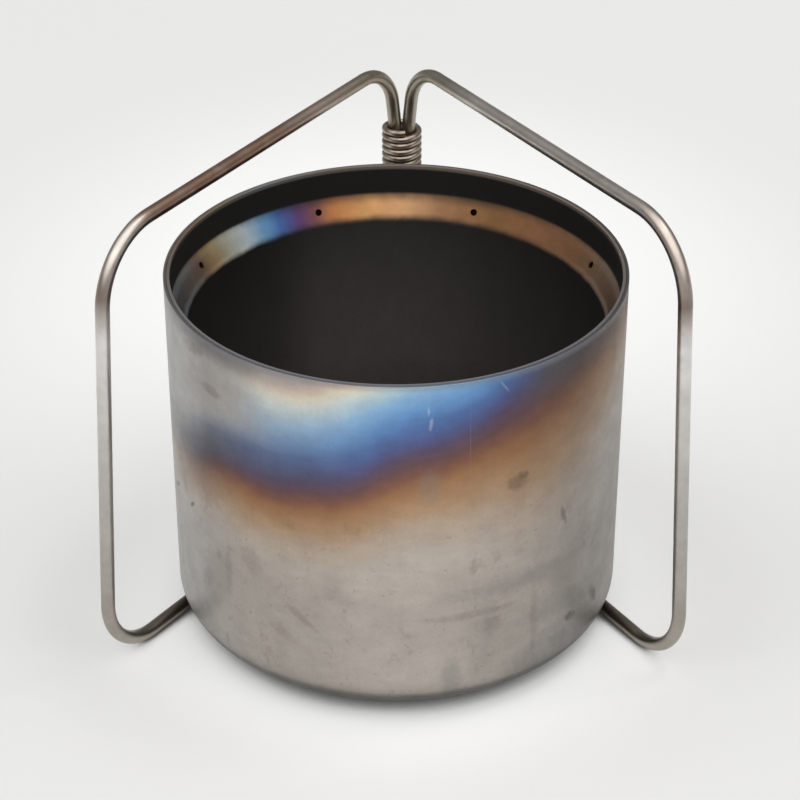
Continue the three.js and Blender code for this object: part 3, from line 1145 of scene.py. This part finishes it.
def make_floor():
    """A matt white table, shaded where things touch it and lightened a little close to them."""
    shader = Shader("pale_floor")
    place = shader.object_millimetres()
    contact = shader.node("ShaderNodeAmbientOcclusion", samples=16)
    contact.inputs["Distance"].default_value = CONTACT_REACH * MM
    openness = contact.outputs["AO"]
    shade = shader.span(openness, *CONTACT_OPENNESS, CONTACT_SHADE, 1.0)
    fill = shader.span(openness, *FILL_OPENNESS, 0.0, FILL_GLOW)
    glow = shader.product(shader.math("ADD", floor_pool(shader, place), fill), shade)
    colour = shader.mix(shader.noise(place, 0.004, 2.0), FLOOR_DARKEST, FLOOR_PALEST)
    shader.set(base_color=shader.darkened(colour, shade), roughness=0.7, specular_ior_level=0.2)
    shader.set(emission_color=GLOW_COLOUR, emission_strength=glow)
    half = FLOOR_SIZE / 2
    corners = [(-half, -half, 0), (half, -half, 0), (half, half, 0), (-half, half, 0)]
    add_piece("floor", corners, [(0, 1, 2, 3)], shader.material)


# One small warm light above and to the right; lengths in millimetres, power in watts.
OVERHEAD_PLACE = (290, 85, 900)
OVERHEAD_AIM = (0, 0, 30)
OVERHEAD_SIZE = 165
OVERHEAD_POWER = 0.55
OVERHEAD_COLOUR = (1.0, 0.96, 0.93)


def make_overhead_light():
    data = bpy.data.lights.new("overhead", "AREA")
    data.shape = "DISK"
    data.size = OVERHEAD_SIZE * MM
    data.energy = OVERHEAD_POWER
    data.color = OVERHEAD_COLOUR
    light = bpy.data.objects.new("overhead", data)
    light.location = Vector(OVERHEAD_PLACE) * MM
    ahead = Vector(OVERHEAD_AIM) - Vector(OVERHEAD_PLACE)
    light.rotation_euler = ahead.to_track_quat("-Z", "Y").to_euler()
    light.visible_camera = False
    bpy.context.scene.collection.objects.link(light)


# The surroundings: dim all round, and bright in a wide soft patch high up on the camera's side.
SKY_DIM = 0.24
SKY_BRIGHT = 1.72
SKY_SOFTNESS = (0.2, 0.97)  # cosines of the angles from its middle where the patch ends and is full
SKY_HORIZON = (0.1, 0.62)  # heights, of 1, where the patch starts above the horizon and is full
SKY_PATCH = Vector((0.0, -0.6, 0.8))  # towards the middle of the patch


def make_world():
    world = bpy.data.worlds.new("soft_surroundings")
    world.use_nodes = True
    sky = NodeTree(world.node_tree)
    direction = sky.node("ShaderNodeTexCoord").outputs["Generated"]
    facing = sky.node("ShaderNodeVectorMath", operation="DOT_PRODUCT")
    sky.put(facing.inputs[0], direction)
    sky.put(facing.inputs[1], SKY_PATCH)
    patch = sky.span(facing.outputs["Value"], *SKY_SOFTNESS)
    above = sky.span(sky.parts(direction)[2], *SKY_HORIZON)
    strength = sky.math("MULTIPLY_ADD", sky.product(patch, above), SKY_BRIGHT, SKY_DIM)
    background = world.node_tree.nodes["Background"]
    background.inputs["Color"].default_value = (1.0, 1.0, 1.0, 1)
    sky.put(background.inputs["Strength"], strength)
    bpy.context.scene.world = world


# The camera, from the middle of the burner's rim, in rim radii and degrees.
CAMERA_BACK = 9.166
CAMERA_RISE = 4.998
CAMERA_PITCH = 31.755
CAMERA_YAW = 0.102
FOCAL_LENGTH = 109.1
SENSOR = 36.0


def make_camera():
    data = bpy.data.cameras.new("camera")
    data.lens = FOCAL_LENGTH
    data.sensor_width = SENSOR
    data.clip_start = 0.01
    data.clip_end = 20
    camera = bpy.data.objects.new("camera", data)
    rim = CUP_AXIS + Vector((0, 0, RIM_Z))
    camera.location = (rim + Vector((0, -CAMERA_BACK, CAMERA_RISE)) * CUP_RADIUS) * MM
    camera.rotation_euler = Euler((math.radians(90 - CAMERA_PITCH), 0, math.radians(-CAMERA_YAW)))
    bpy.context.scene.collection.objects.link(camera)
    bpy.context.scene.camera = camera


make_camera()
bpy.context.scene.view_settings.view_transform = "Standard"
make_burner()
left_rod = rod_titanium("rod_titanium_left", *LEFT_BRONZE)
make_wing("wing_rod_left", "left_wing", "left_wing_body", LEFT_HINGE, left_rod, LEFT_WING)
right_rod = rod_titanium("rod_titanium_right", *RIGHT_BRONZE)
make_wing("wing_rod_right", "right_wing", "right_wing_body", RIGHT_HINGE, right_rod, RIGHT_WING)
make_coil()
make_floor()
make_world()
make_overhead_light()
